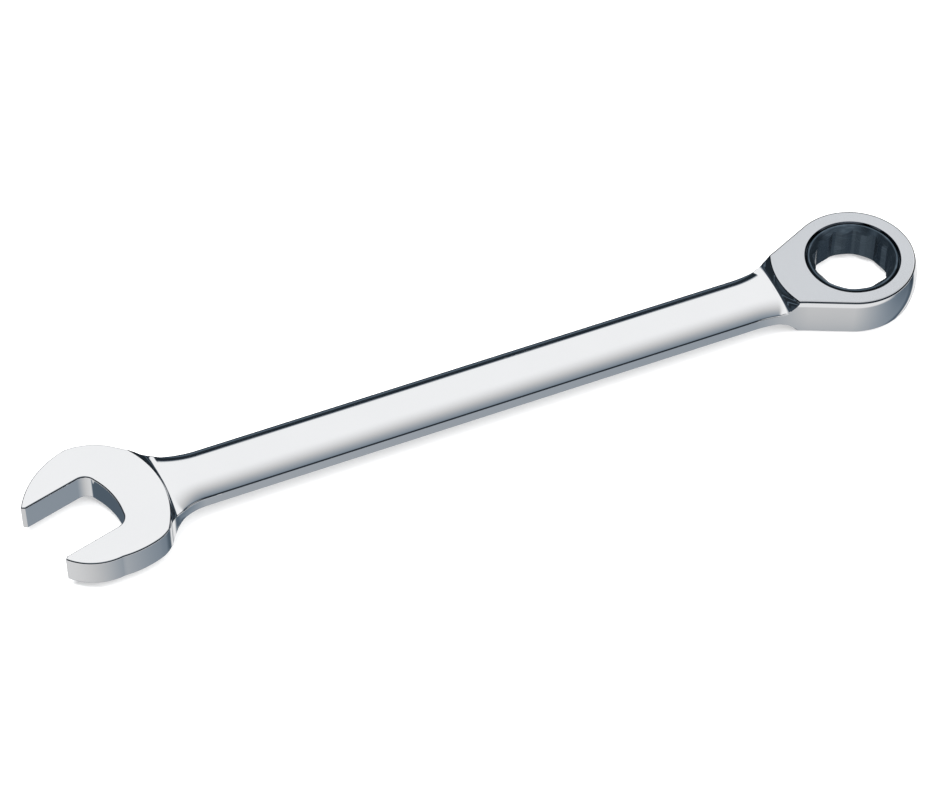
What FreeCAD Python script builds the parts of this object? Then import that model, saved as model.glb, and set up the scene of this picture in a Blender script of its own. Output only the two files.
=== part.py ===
"""Ratcheting combination wrench, 17 mm: an open jaw at 15 degrees on one end and a 12-point ratchet ring on the other.

The frame has its origin on the ring's axis at mid-thickness. +X runs along the wrench from the open jaw towards
the ring, and +Z is square to both flat faces. All lengths are in millimetres.

The forged body carries a toothed gear with the 12-point socket in it. The gear is held between a lip under the
upper face and a wire clip in a groove near the lower face. A toothed pawl slides in a pocket behind the gear, pushed
into its teeth by a small coil spring.
"""

import FreeCAD
import Part
import math
import os
import Sketcher

Vector = FreeCAD.Vector

# alias, value, what it is
SIZES = (
    ("across_flats", 17.0, "nominal size of both ends"),
    ("head_thick", 10.3, "ring head, face to face"),
    ("ring_radius", 15.75, "ring head, outside"),
    ("edge_round", 1.1, "rounding of the ring head's outer edges"),
    ("flank_deg", 24.5, "angle of the ring head's flanks to the shank"),
    ("flank_blend", 30.0, "radius between flank and shank"),
    ("face_end_radius", 19.8, "where the ring head's flat face stops over the shank"),
    ("relief_radius", 4.7, "hollow between a head's face and the shank"),
    ("shank_width", 14.3, "shank, across"),
    ("band_height", 2.9, "flat side of the shank"),
    ("crest_height", 5.8, "shank, over both crowned faces"),
    ("jaw_thick", 7.2, "open head, face to face"),
    ("jaw_centre", -190.0, "centre of the open head along X"),
    ("jaw_deg", 15.0, "angle of the jaw opening"),
    ("jaw_clear", 0.05, "play of the jaw over its nominal size"),
    ("throat_radius", 19.8, "curve of the jaw's floor"),
    ("throat_depth", 2.4, "jaw floor, behind the head's centre"),
    ("corner_radius", 3.0, "relief in the jaw's corners"),
    ("blank_hole_radius", 6.0, "the hole in the gear's turned blank before the socket is cut"),
    ("jaw_back_radius", 23.3, "where the open head's face stops over the shank"),
    ("lip_radius", 11.29, "hole in the upper lip"),
    ("lip_thick", 1.1, "upper lip"),
    ("lip_bevel", 0.3, "bevel on the lip's edge"),
    ("chamber_radius", 12.35, "gear chamber"),
    ("groove_radius", 12.95, "clip groove, at its bottom"),
    ("groove_low", -4.55, "lower side of the clip groove"),
    ("groove_wide", 0.8, "clip groove, along Z"),
    ("gear_tip_radius", 12.25, "gear, over its teeth"),
    ("tooth_height", 0.55, "gear tooth"),
    ("gear_low", -3.55, "lower side of the toothed band"),
    ("gear_high", 3.95, "upper side of the toothed band"),
    ("neck_radius", 11.19, "gear's upper neck, which runs in the lip"),
    ("foot_radius", 11.3, "gear's lower neck, which runs in the clip"),
    ("gear_half", 5.05, "gear, half its height"),
    ("lead_radius", 10.7, "mouth of the lead-in cone"),
    ("clip_inner", 11.5, "clip, inside radius"),
    ("clip_outer", 12.85, "clip, outside radius"),
    ("clip_thick", 0.7, "clip, along Z"),
    ("clip_sweep", 318.0, "clip, degrees of ring"),
    ("pocket_end", 18.1, "back wall of the pawl pocket, from the ring's axis"),
    ("pocket_width", 8.2, "pawl pocket, across"),
    ("pocket_height", 4.8, "pawl pocket, along Z"),
    ("pawl_back", 17.0, "back of the pawl, from the ring's axis"),
    ("pawl_width", 8.0, "pawl, across"),
    ("pawl_height", 4.6, "pawl, along Z"),
    ("mesh_gap", 0.06, "play between the pawl's teeth and the gear's"),
    ("spring_hole", 1.2, "radius of the spring's holes"),
    ("spring_end", 24.6, "bottom of the spring hole, from the ring's axis"),
    ("seat_depth", 1.6, "spring seat in the back of the pawl"),
    ("coil_radius", 0.8, "spring, to the middle of its wire"),
    ("wire_radius", 0.15, "spring wire"),
    ("coil_pitch", 1.0, "spring, turn to turn"),
)

TOOTH_COUNT = 72
TOOTH_PITCH = 360.0 / TOOTH_COUNT
# angles in degrees from the foot of a tooth's steep flank: its tip, the end of its tip, the foot of its long flank
TOOTH_TIP = 1.06
TOOTH_TIP_END = 1.46
TOOTH_FOOT = 4.70
# teeth on each side of the pawl's middle
PAWL_TEETH = 3
# where the shank's straight sides start, and places along the jaw's opening from the head's centre
SHANK_START = -166.0
FLAT_REACH = 15.4
TIP_REACH = 16.2
TIP_RISE = 0.7
RELIEF_START = 1.5
JAW_FACE_CENTRE = Vector(-199.75, -1.96, 0)
HOLLOW_UNDERCUT = 0.25
TINY = 0.01

doc = FreeCAD.newDocument("wrench")
sheet = doc.addObject("Spreadsheet::Sheet", "sizes")
for row, (alias, value, meaning) in enumerate(SIZES, start=1):
    sheet.set(f"A{row}", meaning)
    sheet.set(f"B{row}", str(value))
    sheet.setAlias(f"B{row}", alias)
doc.recompute()
size = {alias: float(sheet.get(alias)) for alias, _, _ in SIZES}


def polar(radius, degrees):
    """A point at a radius and an angle from +X."""
    turn = math.radians(degrees)
    return Vector(radius * math.cos(turn), radius * math.sin(turn), 0)


def new_body(label):
    """An empty body with its label."""
    body = doc.addObject("PartDesign::Body", label)
    body.Label = label
    return body


def plane_of(body, role):
    """One of the body's own origin planes or axes."""
    return next(item for item in body.Origin.OriginFeatures if item.Role == role)


def new_sketch(body, name, role="XY_Plane", lift=None):
    """A sketch on one of the body's origin planes; lift is an expression for its height over the plane."""
    sketch = body.newObject("Sketcher::SketchObject", name)
    sketch.AttachmentSupport = [(plane_of(body, role), "")]
    sketch.MapMode = "FlatFace"
    if lift:
        sketch.setExpression("AttachmentOffset.Base.z", lift)
    return sketch


def join_ends(sketch, first, last):
    """Join each element's end to the next one's start, and the last to the first."""
    for index in range(first, last):
        sketch.addConstraint(Sketcher.Constraint("Coincident", index, 2, index + 1, 1))
    sketch.addConstraint(Sketcher.Constraint("Coincident", last, 2, first, 1))


def add_polygon(sketch, points):
    """A closed outline of straight lines."""
    first = sketch.GeometryCount
    for start, end in zip(points, points[1:] + points[:1]):
        sketch.addGeometry(Part.LineSegment(start, end), False)
    join_ends(sketch, first, sketch.GeometryCount - 1)


def add_circle(sketch, radius, expression):
    """A circle about the sketch's origin with its radius bound to the sheet."""
    index = sketch.addGeometry(Part.Circle(Vector(0, 0, 0), Vector(0, 0, 1), radius), False)
    sketch.addConstraint(Sketcher.Constraint("Coincident", index, 3, -1, 1))
    rule = sketch.addConstraint(Sketcher.Constraint("Radius", index, radius))
    sketch.setExpression(f"Constraints[{rule}]", expression)


def pad(body, sketch, name, length, both_sides=True):
    """A pad of the sketch; length is an expression."""
    feature = body.newObject("PartDesign::Pad", name)
    feature.Profile = sketch
    feature.Midplane = both_sides
    feature.setExpression("Length", length)
    return feature


def turned(body, sketch, name, kind="PartDesign::Revolution", degrees="360"):
    """A sketch in the XZ plane turned about Z; the sketch's vertical axis is the body's Z."""
    feature = body.newObject(kind, name)
    feature.Profile = sketch
    feature.ReferenceAxis = (sketch, ["V_Axis"])
    feature.setExpression("Angle", degrees)
    return feature


def boolean(kind, label, base, tool):
    """A Part boolean of two objects."""
    feature = doc.addObject(kind, label)
    feature.Label = label
    feature.Base = base
    feature.Tool = tool
    return feature


def arc_through(start, through, end):
    """An arc through three points given as pairs."""
    return Part.Arc(*(Vector(x, y, 0) for x, y in (start, through, end)))


# ---- the forged body -------------------------------------------------------------------------------------------

def jaw_point(along, across):
    """A point of the jaw: along its opening from the head's centre, and across it."""
    turn = math.radians(size["jaw_deg"])
    x = size["jaw_centre"] - along * math.cos(turn) - across * math.sin(turn)
    y = -along * math.sin(turn) + across * math.cos(turn)
    return x, y


def throat_outline():
    """The jaw's inside from the upper tip to the lower one: flat, corner relief, floor, corner relief, flat."""
    half = size["across_flats"] / 2 + size["jaw_clear"]
    corner = size["corner_radius"]
    floor = size["throat_radius"]
    floor_centre = floor - size["throat_depth"]
    # the corner's arc and the floor's arc cross here
    gap = floor_centre - RELIEF_START
    rise = half - corner
    reach = math.hypot(gap, rise)
    share = math.acos((reach ** 2 + floor ** 2 - corner ** 2) / (2 * reach * floor))
    turn = math.atan2(rise, gap) - share
    cross = (floor_centre - floor * math.cos(turn), floor * math.sin(turn))
    fade = 0.5 * (math.pi / 2 + math.atan2(cross[1] - rise, cross[0] - RELIEF_START) % (2 * math.pi))
    middle = (RELIEF_START + corner * math.cos(fade), rise + corner * math.sin(fade))
    upper = [(TIP_REACH, half + TIP_RISE), (FLAT_REACH, half), (RELIEF_START, half), middle, cross]
    lower = [jaw_point(along, -across) for along, across in upper]
    upper = [jaw_point(along, across) for along, across in upper]
    return [
        ("line", upper[0], upper[1]),
        ("line", upper[1], upper[2]),
        ("arc", upper[2], upper[3], upper[4]),
        ("arc", upper[4], jaw_point(floor_centre - floor, 0), lower[4]),
        ("arc", lower[4], lower[3], lower[2]),
        ("line", lower[2], lower[1]),
        ("line", lower[1], lower[0]),
    ]


def ring_outline():
    """The ring head and the shank in plan, cut square at the jaw's end of the shank."""
    half = size["shank_width"] / 2
    ring = size["ring_radius"]
    flank = math.radians(size["flank_deg"])
    blend = size["flank_blend"]
    # the flank touches the ring, and a hollow arc joins it to the shank
    touch = (-ring * math.sin(flank), ring * math.cos(flank))
    bend = ((half - ring / math.cos(flank)) / math.tan(flank), half)
    set_back = blend * math.tan(flank / 2)
    sink = blend * (1 / math.cos(flank / 2) - 1)
    leave = (bend[0] - set_back, half)
    middle = (bend[0] - sink * math.sin(flank / 2), half + sink * math.cos(flank / 2))
    land = (bend[0] + set_back * math.cos(flank), half + set_back * math.sin(flank))
    side = ((SHANK_START, half), leave, middle, land, touch)
    far = [(x, -y) for x, y in side]
    return [
        ("line", far[0], far[1]),
        ("arc", far[1], far[2], far[3]),
        ("line", far[3], far[4]),
        ("arc", far[4], (ring, 0.0), side[4]),
        ("line", side[4], side[3]),
        ("arc", side[3], side[2], side[1]),
        ("line", side[1], side[0]),
        ("line", side[0], far[0]),
    ]


def jaw_outline():
    """The open head in plan, from the shank round both jaws; its outer points follow the head's profile."""
    half = size["shank_width"] / 2
    reach = size["across_flats"] / 2 + size["jaw_clear"] + TIP_RISE
    upper_tip = jaw_point(TIP_REACH, reach)
    lower_tip = jaw_point(TIP_REACH, -reach)
    upper = ((SHANK_START, half), (-175.2, 9.2), (-182.3, 13.55), (-188.2, 16.75), (-193.4, 17.35), (-201.9, 12.95))
    lower = ((-201.5, -14.75), (-191.0, -17.33), (-186.5, -17.05), (-181.9, -15.85), (-179.9, -14.75),
             (-178.2, -13.1), (-174.6, -9.25), (-168.0, -half))
    return throat_outline() + [
        ("arc", lower_tip, lower[0], lower[1]),
        ("arc", lower[1], lower[2], lower[3]),
        ("arc", lower[3], lower[4], lower[5]),
        ("arc", lower[5], lower[6], lower[7]),
        ("line", lower[7], (SHANK_START, -half)),
        ("line", (SHANK_START, -half), upper[0]),
        ("arc", upper[0], upper[1], upper[2]),
        ("arc", upper[2], upper[3], upper[4]),
        ("arc", upper[4], upper[5], upper_tip),
    ]


def add_outline(sketch, outline):
    """Add a closed run of lines and arcs, given by their points."""
    for kind, *points in outline:
        if kind == "arc":
            sketch.addGeometry(arc_through(*points), False)
        else:
            start, end = (Vector(x, y, 0) for x, y in points)
            sketch.addGeometry(Part.LineSegment(start, end), False)


def make_ring_blank():
    """The ring head and the shank at the head's full height, with the outer edges rounded."""
    body = new_body("ring_blank")
    sketch = new_sketch(body, "ring_plan")
    add_outline(sketch, ring_outline())
    full = pad(body, sketch, "ring_pad", "sizes.head_thick")
    doc.recompute()
    edges = []
    for index, edge in enumerate(full.Shape.Edges, start=1):
        box = edge.BoundBox
        if box.ZLength < TINY and box.XLength > TINY:
            edges.append(f"Edge{index}")
    rounding = body.newObject("PartDesign::Fillet", "ring_edges")
    rounding.Base = (full, edges)
    rounding.setExpression("Radius", "sizes.edge_round")
    return body


def make_jaw_blank():
    """The open head at its own height."""
    body = new_body("jaw_blank")
    sketch = new_sketch(body, "jaw_plan")
    add_outline(sketch, jaw_outline())
    pad(body, sketch, "jaw_pad", "sizes.jaw_thick")
    return body


def make_bar():
    """The shank's section, crowned above and below between two flat sides, along the whole wrench."""
    body = new_body("shank_bar")
    sketch = new_sketch(body, "bar_section", "YZ_Plane", "sizes.jaw_centre")
    half, side, crest = size["shank_width"] / 2, size["band_height"] / 2, size["crest_height"] / 2
    wing = 2 * size["shank_width"]
    add_outline(sketch, [
        ("line", (half, side), (wing, side)),
        ("line", (wing, side), (wing, -side)),
        ("line", (wing, -side), (half, -side)),
        ("arc", (half, -side), (0, -crest), (-half, -side)),
        ("line", (-half, -side), (-wing, -side)),
        ("line", (-wing, -side), (-wing, side)),
        ("line", (-wing, side), (-half, side)),
        ("arc", (-half, side), (0, crest), (half, side)),
    ])
    pad(body, sketch, "bar_pad", "-sizes.jaw_centre", both_sides=False)
    return body


def make_drum(label, radius, height):
    """A round head seat with a hollow that runs out over the shank; radius and height are aliases."""
    body = new_body(label)
    sketch = new_sketch(body, f"{label}_profile", "XZ_Plane")
    face, top, sweep = size[radius], size[height] / 2, size["relief_radius"]
    foot = size["band_height"] / 2 - HOLLOW_UNDERCUT
    rise = min(top - foot, sweep)
    turn = math.acos((sweep - rise) / sweep)
    reach = face + sweep
    start = (reach - sweep * math.sin(turn), foot + rise)
    through = (reach - sweep * math.sin(turn / 2), foot + sweep * (1 - math.cos(turn / 2)))
    end = (reach, foot)
    low_start, low_through, low_end = [(x, -z) for x, z in (start, through, end)]
    add_outline(sketch, [
        ("line", (0, start[1]), start),
        ("arc", start, through, end),
        ("line", end, low_end),
        ("arc", low_end, low_through, low_start),
        ("line", low_start, (0, -start[1])),
        ("line", (0, -start[1]), (0, start[1])),
    ])
    turned(body, sketch, f"{label}_turn")
    return body


def make_chamber():
    """What is bored out of the ring head: lip hole, gear chamber and clip groove, as one turned shape."""
    body = new_body("chamber")
    sketch = new_sketch(body, "chamber_profile", "XZ_Plane")
    top = size["head_thick"] / 2
    past = top + 1.0
    lip, room, groove = size["lip_radius"], size["chamber_radius"], size["groove_radius"]
    bevel = size["lip_bevel"]
    shelf = top - size["lip_thick"]
    low = size["groove_low"]
    high = low + size["groove_wide"]
    profile = [(0, -past), (room, -past), (room, low), (groove, low), (groove, high), (room, high),
               (room, shelf), (lip, shelf), (lip, top - bevel), (lip + bevel, top), (lip + bevel, past), (0, past)]
    add_polygon(sketch, [Vector(radius, height, 0) for radius, height in profile])
    turned(body, sketch, "chamber_turn")
    return body


def make_pocket():
    """The pawl's pocket, open to the gear chamber, and the spring's hole behind it."""
    block = doc.addObject("Part::Box", "pocket_block")
    block.setExpression("Length", "sizes.pocket_end - sizes.lip_radius + 1.5")
    block.setExpression("Width", "sizes.pocket_width")
    block.setExpression("Height", "sizes.pocket_height")
    block.setExpression("Placement.Base.x", "-sizes.pocket_end")
    block.setExpression("Placement.Base.y", "-sizes.pocket_width / 2")
    block.setExpression("Placement.Base.z", "-sizes.pocket_height / 2")
    hole = doc.addObject("Part::Cylinder", "spring_drill")
    hole.setExpression("Radius", "sizes.spring_hole")
    hole.setExpression("Height", "sizes.spring_end - sizes.lip_radius")
    hole.Placement = FreeCAD.Placement(Vector(-size["spring_end"], 0, 0), FreeCAD.Rotation(Vector(0, 1, 0), 90))
    hole.setExpression("Placement.Base.x", "-sizes.spring_end")
    return boolean("Part::Fuse", "pawl_pocket", block, hole)


def make_wrench_body():
    """The forging: its plan shape, thinned to the shank and the open head, then bored for the ratchet."""
    plan = boolean("Part::Fuse", "plan_shape", make_ring_blank(), make_jaw_blank())
    ring_drum = make_drum("ring_drum", "face_end_radius", "head_thick")
    jaw_drum = make_drum("jaw_drum", "jaw_back_radius", "jaw_thick")
    jaw_drum.Placement = FreeCAD.Placement(JAW_FACE_CENTRE, FreeCAD.Rotation())
    heads = boolean("Part::Fuse", "head_seats", ring_drum, jaw_drum)
    envelope = boolean("Part::Fuse", "envelope", heads, make_bar())
    forging = boolean("Part::Common", "forging", plan, envelope)
    cavity = boolean("Part::Fuse", "cavity", make_chamber(), make_pocket())
    return boolean("Part::Cut", "wrench_body", forging, cavity)


# ---- the ratchet -----------------------------------------------------------------------------------------------

def socket_points(across):
    """The 12-point outline for a nominal size: two hexagons, one turned by 30 degrees."""
    outer = across / 2 / math.cos(math.radians(30))
    inner = across / 2 / math.cos(math.radians(15))
    points = []
    for step in range(12):
        points.append(polar(outer, 30 * step))
        points.append(polar(inner, 30 * step + 15))
    return points


def make_gear():
    """The toothed ring that carries the 12-point socket."""
    body = new_body("ratchet_gear")
    sketch = new_sketch(body, "gear_profile", "XZ_Plane")
    tip, neck, foot = size["gear_tip_radius"], size["neck_radius"], size["foot_radius"]
    half, low, high = size["gear_half"], size["gear_low"], size["gear_high"]
    inside = size["blank_hole_radius"]
    profile = [(inside, -half), (foot, -half), (foot, low), (tip, low), (tip, high), (neck, high), (neck, half),
               (inside, half)]
    add_polygon(sketch, [Vector(radius, height, 0) for radius, height in profile])
    turned(body, sketch, "gear_blank")
    socket = new_sketch(body, "socket_outline", "XY_Plane", "-sizes.gear_half - 1")
    add_polygon(socket, socket_points(size["across_flats"] + 2 * size["jaw_clear"]))
    cut = body.newObject("PartDesign::Pocket", "socket_cut")
    cut.Profile = socket
    cut.Reversed = True
    cut.setExpression("Length", "2 * sizes.gear_half + 2")
    lead = new_sketch(body, "lead_profile", "XZ_Plane")
    mouth = size["lead_radius"]
    depth = mouth - inside
    for side in (1, -1):
        corners = [(inside, side * half), (mouth, side * half), (inside, side * (half - depth))]
        add_polygon(lead, [Vector(radius, height, 0) for radius, height in corners])
    turned(body, lead, "lead_in", "PartDesign::Groove")
    gap = new_sketch(body, "tooth_gap", "XY_Plane", "sizes.gear_low - 0.2")
    root = tip - size["tooth_height"]
    past = tip + 0.4
    outline = [polar(past, TOOTH_TIP_END), polar(tip, TOOTH_TIP_END), polar(root, TOOTH_FOOT),
               polar(root, TOOTH_PITCH), polar(tip, TOOTH_PITCH + TOOTH_TIP), polar(past, TOOTH_PITCH + TOOTH_TIP)]
    add_polygon(gap, outline)
    groove = body.newObject("PartDesign::Pocket", "tooth_cut")
    groove.Profile = gap
    groove.Reversed = True
    groove.setExpression("Length", "sizes.gear_high - sizes.gear_low + 0.4")
    doc.recompute()
    pattern = body.newObject("PartDesign::PolarPattern", "teeth")
    pattern.Originals = [groove]
    pattern.Axis = (gap, ["N_Axis"])
    pattern.Angle = 360
    pattern.Occurrences = TOOTH_COUNT
    body.Tip = pattern
    return body


def pawl_front():
    """The pawl's toothed side: the gear's own teeth, moved back along X by the play between them."""
    tip = size["gear_tip_radius"]
    root = tip - size["tooth_height"]
    first = 180 - TOOTH_PITCH * PAWL_TEETH
    last = 180 + TOOTH_PITCH * PAWL_TEETH
    points = [polar(tip, first - TOOTH_PITCH + TOOTH_TIP_END), polar(root, first - TOOTH_PITCH + TOOTH_FOOT)]
    for step in range(2 * PAWL_TEETH):
        start = first + TOOTH_PITCH * step
        points.append(polar(root, start))
        points.append(polar(tip, start + TOOTH_TIP))
        points.append(polar(tip, start + TOOTH_TIP_END))
        points.append(polar(root, start + TOOTH_FOOT))
    points.append(polar(root, last))
    points.append(polar(tip, last + TOOTH_TIP))
    return [point + Vector(-size["mesh_gap"], 0, 0) for point in points]


def make_pawl():
    """The sliding pawl: a block with teeth on the gear's side and the spring's seat behind."""
    body = new_body("ratchet_pawl")
    sketch = new_sketch(body, "pawl_outline")
    half = size["pawl_width"] / 2
    back, corner = size["pawl_back"], 0.5
    front = pawl_front()
    shoulder = size["gear_tip_radius"] + 0.25
    slope = math.sqrt(shoulder ** 2 - half ** 2)
    outline = front + [Vector(-slope, -half, 0), Vector(-back + corner, -half, 0), Vector(-back, -half + corner, 0),
                       Vector(-back, half - corner, 0), Vector(-back + corner, half, 0), Vector(-slope, half, 0)]
    add_polygon(sketch, outline)
    pad(body, sketch, "pawl_pad", "sizes.pawl_height")
    seat = new_sketch(body, "seat_outline", "YZ_Plane", "-sizes.pawl_back - 1")
    add_circle(seat, size["spring_hole"], "sizes.spring_hole")
    hole = body.newObject("PartDesign::Pocket", "spring_seat")
    hole.Profile = seat
    hole.Reversed = True
    hole.setExpression("Length", "sizes.seat_depth + 1")
    return body


def make_spring():
    """The coil spring between the hole in the forging and the seat in the pawl."""
    body = new_body("pawl_spring")
    sketch = new_sketch(body, "wire_section", "XZ_Plane")
    wire = size["wire_radius"]
    index = sketch.addGeometry(Part.Circle(Vector(size["coil_radius"], 0, 0), Vector(0, 0, 1), wire), False)
    rule = sketch.addConstraint(Sketcher.Constraint("Radius", index, wire))
    sketch.setExpression(f"Constraints[{rule}]", "sizes.wire_radius")
    coil = body.newObject("PartDesign::AdditiveHelix", "coil")
    coil.Profile = sketch
    coil.ReferenceAxis = (sketch, ["V_Axis"])
    coil.Mode = 0
    coil.setExpression("Pitch", "sizes.coil_pitch")
    coil.setExpression("Height", "sizes.spring_end - sizes.pawl_back + sizes.seat_depth - 2 * sizes.wire_radius - 0.1")
    start = -size["spring_end"] + size["wire_radius"] + 0.05
    body.Placement = FreeCAD.Placement(Vector(start, 0, 0), FreeCAD.Rotation(Vector(0, 1, 0), 90))
    return body


def make_clip():
    """The wire clip under the gear, an open ring of square section with its gap on the jaw's side."""
    body = new_body("retaining_ring")
    sketch = new_sketch(body, "clip_section", "XZ_Plane")
    low = size["groove_low"] + 0.05
    high = low + size["clip_thick"]
    inner, outer = size["clip_inner"], size["clip_outer"]
    add_polygon(sketch, [Vector(inner, low, 0), Vector(outer, low, 0), Vector(outer, high, 0), Vector(inner, high, 0)])
    turned(body, sketch, "clip_turn", degrees="sizes.clip_sweep")
    half_gap = (360 - size["clip_sweep"]) / 2
    body.Placement = FreeCAD.Placement(Vector(0, 0, 0), FreeCAD.Rotation(Vector(0, 0, 1), 180 + half_gap))
    return body


def check_and_write(pieces):
    """Stop on any failed object or bad shape, then write one file for each piece."""
    doc.recompute()
    failed = [item.Label for item in doc.Objects if {"Invalid", "Error"} & set(item.State)]
    if failed:
        raise RuntimeError(f"failed objects: {failed}")
    os.makedirs("parts", exist_ok=True)
    for piece in pieces:
        shape = piece.Shape
        if shape.isNull() or not shape.isValid():
            raise RuntimeError(f"bad shape: {piece.Label}")
        print(f"{piece.Label}: {len(shape.Solids)} solid, {shape.Volume:.1f} mm3")
        shape.exportStep(f"parts/{piece.Label}.step")


check_and_write([make_wrench_body(), make_gear(), make_pawl(), make_spring(), make_clip()])
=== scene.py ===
"""Looks of a ratcheting combination wrench: the chromed forging, the blackened ratchet gear and the parts behind it.

Lengths in the classes are in millimetres and the meshes are in metres. X runs from the open jaw to the ring, and Z is
square to both faces.
"""

import logging
import math
from dataclasses import dataclass
from enum import Enum
from typing import Any

import bpy
from mathutils import Matrix, Vector


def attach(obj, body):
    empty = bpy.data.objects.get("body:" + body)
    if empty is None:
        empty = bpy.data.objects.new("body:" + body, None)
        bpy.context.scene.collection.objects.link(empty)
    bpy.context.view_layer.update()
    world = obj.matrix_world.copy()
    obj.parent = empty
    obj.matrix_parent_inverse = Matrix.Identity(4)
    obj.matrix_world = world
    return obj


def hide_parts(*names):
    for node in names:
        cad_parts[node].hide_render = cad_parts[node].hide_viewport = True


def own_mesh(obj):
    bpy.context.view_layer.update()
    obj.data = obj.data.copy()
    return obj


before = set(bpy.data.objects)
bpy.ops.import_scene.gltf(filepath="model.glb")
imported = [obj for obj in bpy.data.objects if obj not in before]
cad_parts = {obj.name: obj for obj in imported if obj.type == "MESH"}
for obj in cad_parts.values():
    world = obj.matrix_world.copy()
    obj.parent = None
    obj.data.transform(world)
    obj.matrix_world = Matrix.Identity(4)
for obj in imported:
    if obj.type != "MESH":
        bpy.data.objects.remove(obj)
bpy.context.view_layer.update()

LOG = logging.getLogger("wrench")
MM = 0.001
WELD = 0.002 * MM

Point = tuple[float, float]
Triple = tuple[float, float, float]
Piece = bpy.types.Object


class Plane(Enum):
    """The plane that an outline is drawn in."""

    FLAT = "xy"
    SECTION = "yz"
    PROFILE = "xz"


class Cut(Enum):
    """What a tool does to a blank."""

    REMOVE = "DIFFERENCE"
    JOIN = "UNION"
    KEEP = "INTERSECT"


# ---- workshop: drawing, extruding and turning ----


def clear_selection() -> None:
    """Leave nothing selected, in object mode."""
    if bpy.context.object and bpy.context.object.mode != "OBJECT":
        bpy.ops.object.mode_set(mode="OBJECT")
    bpy.ops.object.select_all(action="DESELECT")


def pick(piece: Piece) -> None:
    """Select one object and make it active."""
    clear_selection()
    piece.select_set(True)
    bpy.context.view_layer.objects.active = piece


def placed(point: Point, plane: Plane, lift: float = 0.0) -> Vector:
    """A drawn point in space, in metres."""
    u, v = point
    if plane is Plane.FLAT:
        return Vector((u, v, lift)) * MM
    if plane is Plane.SECTION:
        return Vector((lift, u, v)) * MM
    return Vector((u, lift, v)) * MM


def arc(centre: Point, radius: float, start: float, end: float, step: float = 3.0) -> list[Point]:
    """Points along an arc.

    Args:
        centre: the arc's centre.
        radius: its radius.
        start: the angle of its first point in degrees.
        end: the angle of its last point; below start for a clockwise arc.
        step: the most degrees between two points.

    Returns:
        The points, both ends included.
    """
    count = max(2, math.ceil(abs(end - start) / step))
    turns = [math.radians(start + (end - start) * index / count) for index in range(count + 1)]
    return [(centre[0] + radius * math.cos(turn), centre[1] + radius * math.sin(turn)) for turn in turns]


def arc_through(first: Point, middle: Point, last: Point, step: float = 3.0) -> list[Point]:
    """Points along the arc through three points.

    Args:
        first: where the arc starts.
        middle: a point on it.
        last: where it ends.
        step: the most degrees between two points.

    Returns:
        The points, both ends included.
    """
    (ax, ay), (bx, by), (cx, cy) = first, middle, last
    det = 2 * (ax * (by - cy) + bx * (cy - ay) + cx * (ay - by))
    sa, sb, sc = ax * ax + ay * ay, bx * bx + by * by, cx * cx + cy * cy
    centre = ((sa * (by - cy) + sb * (cy - ay) + sc * (ay - by)) / det,
              (sa * (cx - bx) + sb * (ax - cx) + sc * (bx - ax)) / det)
    angles = [math.degrees(math.atan2(y - centre[1], x - centre[0])) for x, y in (first, middle, last)]
    to_middle = (angles[1] - angles[0]) % 360
    to_last = (angles[2] - angles[0]) % 360
    sweep = to_last if to_middle < to_last else to_last - 360
    return arc(centre, math.hypot(ax - centre[0], ay - centre[1]), angles[0], angles[0] + sweep, step)


def draw(name: str, points: list[Point], plane: Plane, lift: float = 0.0) -> Piece:
    """Draw a closed outline by extruding one vertex from point to point, and fill it.

    Args:
        name: the new object's name.
        points: the corners in order; a repeated point is skipped.
        plane: the plane drawn in.
        lift: how far along the plane's normal it lies.

    Returns:
        The object, with one face.
    """
    clear_selection()
    spots = [placed(point, plane, lift) for point in points]
    bpy.ops.mesh.primitive_plane_add(size=MM, location=spots[0])
    piece = bpy.context.object
    piece.name = name
    bpy.ops.object.transform_apply(location=True)
    bpy.ops.object.mode_set(mode="EDIT")
    bpy.ops.mesh.select_all(action="SELECT")
    bpy.ops.mesh.merge(type="CENTER")
    at = spots[0]
    for spot in spots[1:]:
        if (spot - at).length > WELD:
            bpy.ops.mesh.extrude_vertices_move(TRANSFORM_OT_translate={"value": spot - at})
            at = spot
    bpy.ops.mesh.select_all(action="SELECT")
    bpy.ops.mesh.remove_doubles(threshold=WELD)
    bpy.ops.mesh.edge_face_add()
    if len(piece.data.polygons) == 0:
        bpy.ops.mesh.select_all(action="SELECT")
        bpy.ops.mesh.edge_face_add()
    bpy.ops.object.mode_set(mode="OBJECT")
    return piece


def tidy_shell(piece: Piece) -> None:
    """Merge doubles and point every face outwards."""
    pick(piece)
    bpy.ops.object.mode_set(mode="EDIT")
    bpy.ops.mesh.select_all(action="SELECT")
    bpy.ops.mesh.remove_doubles(threshold=WELD)
    bpy.ops.mesh.delete_loose(use_verts=True, use_edges=True, use_faces=False)
    bpy.ops.mesh.select_all(action="SELECT")
    bpy.ops.mesh.normals_make_consistent(inside=False)
    bpy.ops.object.mode_set(mode="OBJECT")


def pull(piece: Piece, along: Triple) -> Piece:
    """Extrude a drawn face into a closed solid.

    Args:
        piece: an object with one face.
        along: the direction and length in millimetres.

    Returns:
        The same object.
    """
    pick(piece)
    bpy.ops.object.mode_set(mode="EDIT")
    bpy.ops.mesh.select_all(action="SELECT")
    bpy.ops.mesh.extrude_region_move(TRANSFORM_OT_translate={"value": Vector(along) * MM})
    bpy.ops.object.mode_set(mode="OBJECT")
    tidy_shell(piece)
    return piece


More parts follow.
